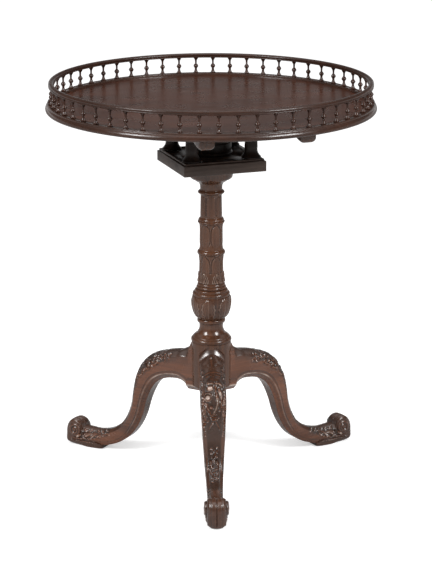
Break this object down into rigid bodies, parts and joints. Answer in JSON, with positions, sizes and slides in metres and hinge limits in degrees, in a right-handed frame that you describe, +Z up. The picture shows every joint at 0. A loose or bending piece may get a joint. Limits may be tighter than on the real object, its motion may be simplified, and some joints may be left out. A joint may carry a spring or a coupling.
{
  "type": "tripod table",
  "caption": "Round tilt-top tripod table with a spindle gallery, a birdcage that turns on a carved pillar, and cabriole legs on scroll feet.",
  "frame": {"origin": "on the floor under the pillar's axis", "axes": "+Z up, X along the tilt hinge, Y along the bearers with +Y towards the hinge side"},
  "size_m": [0.6024, 0.5972, 0.74],
  "materials": {
    "mahogany": "polished",
    "dark_mahogany": "satin",
    "brass": "aged",
    "iron": "dull"
  },
  "bodies": {
    "base": {"brace_screw_leg_front": "iron", "brace_screw_leg_left": "iron", "brace_screw_leg_right": "iron", "brace_screw_pillar_front": "iron", "brace_screw_pillar_left": "iron", "brace_screw_pillar_right": "iron", "cage_collar": "dark_mahogany", "cage_wedge": "dark_mahogany", "leg_brace": "iron", "leg_front": "mahogany", "leg_left": "mahogany", "leg_right": "mahogany", "pillar": "mahogany"},
    "birdcage": {"cage_lower_plate": "dark_mahogany", "cage_upper_block": "dark_mahogany", "catch_strike": "brass", "colonnette_back_left": "dark_mahogany", "colonnette_back_right": "dark_mahogany", "colonnette_front_left": "dark_mahogany", "colonnette_front_right": "dark_mahogany", "strike_screw_left": "brass", "strike_screw_right": "brass"},
    "top": {"bearer_left": "mahogany", "bearer_right": "mahogany", "bearer_screw_left_back": "iron", "bearer_screw_left_front": "iron", "bearer_screw_right_back": "iron", "bearer_screw_right_front": "iron", "catch_case": "brass", "catch_screw_left": "brass", "catch_screw_right": "brass", "gallery_01": "mahogany", "gallery_02": "mahogany", "gallery_03": "mahogany", "gallery_04": "mahogany", "gallery_05": "mahogany", "gallery_06": "mahogany", "gallery_07": "mahogany", "gallery_08": "mahogany", "gallery_09": "mahogany", "gallery_10": "mahogany", "gallery_11": "mahogany", "top_board": "mahogany", "top_rim": "mahogany"},
    "bolt": {"catch_bolt": "brass"}
  },
  "joints": [
    {"name": "cage_spin", "type": "hinge", "parent": "base", "child": "birdcage", "pos_m": [0, 0, 0.5819], "axis": [0, 0, 1], "continuous": true},
    {"name": "top_tilt", "type": "hinge", "parent": "birdcage", "child": "top", "pos_m": [0, 0.06715, 0.6687], "axis": [-1, 0, 0], "range_deg": [0, 90]},
    {"name": "catch_slide", "type": "slide", "parent": "top", "child": "bolt", "axis": [0, 1, 0], "range_m": [0, 0.01]}
  ]
}
